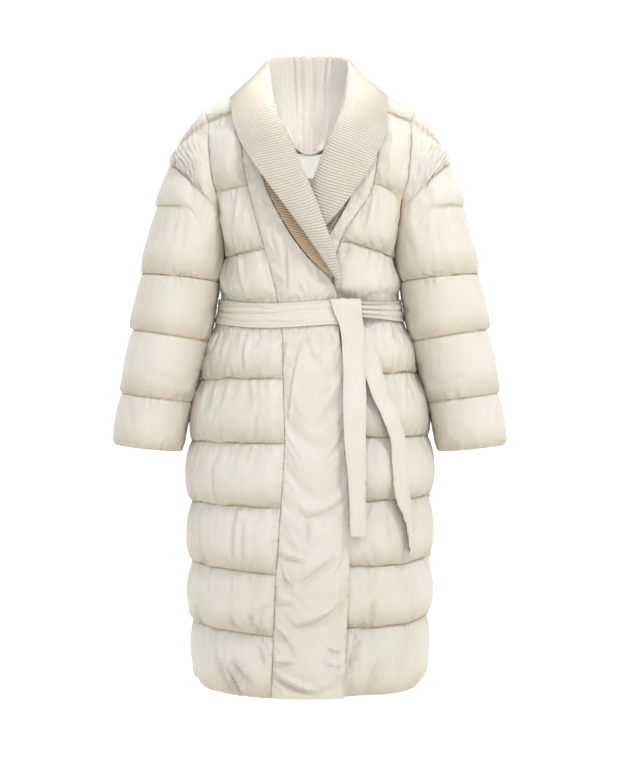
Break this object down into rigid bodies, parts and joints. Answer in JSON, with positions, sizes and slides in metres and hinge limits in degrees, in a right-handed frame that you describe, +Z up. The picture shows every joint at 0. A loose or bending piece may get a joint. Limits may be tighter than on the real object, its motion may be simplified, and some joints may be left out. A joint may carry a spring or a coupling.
{
  "type": "quilted down wrap coat with a knitted shawl collar",
  "caption": "Long hollow quilted wrap coat with a rib-knit shawl collar, set-in sleeves and a tied fabric belt.",
  "frame": {"origin": "midway between the two shoulder points, where the wearer carries the coat", "axes": "+Z up, -Y the coat's front, +X the wearer's left-hand side"},
  "size_m": [0.7598, 0.34, 1.2301],
  "materials": {
    "shell": "soft ivory nylon shell, down filled, faint sheen",
    "rib_knit": "matte wool-blend rib knit",
    "belt_fabric": "shell fabric, topstitched",
    "label": "plain white woven label, bare"
  },
  "bodies": {
    "root": {"front_right": "shell", "band_right": "shell", "front_left": "shell", "band_left": "shell", "back": "shell", "sleeve_right": "shell", "sleeve_left": "shell", "collar": "rib_knit", "belt_waist": "belt_fabric", "belt_tail_front": "belt_fabric", "belt_tail_side": "belt_fabric", "neck_label": "label"}
  },
  "joints": []
}
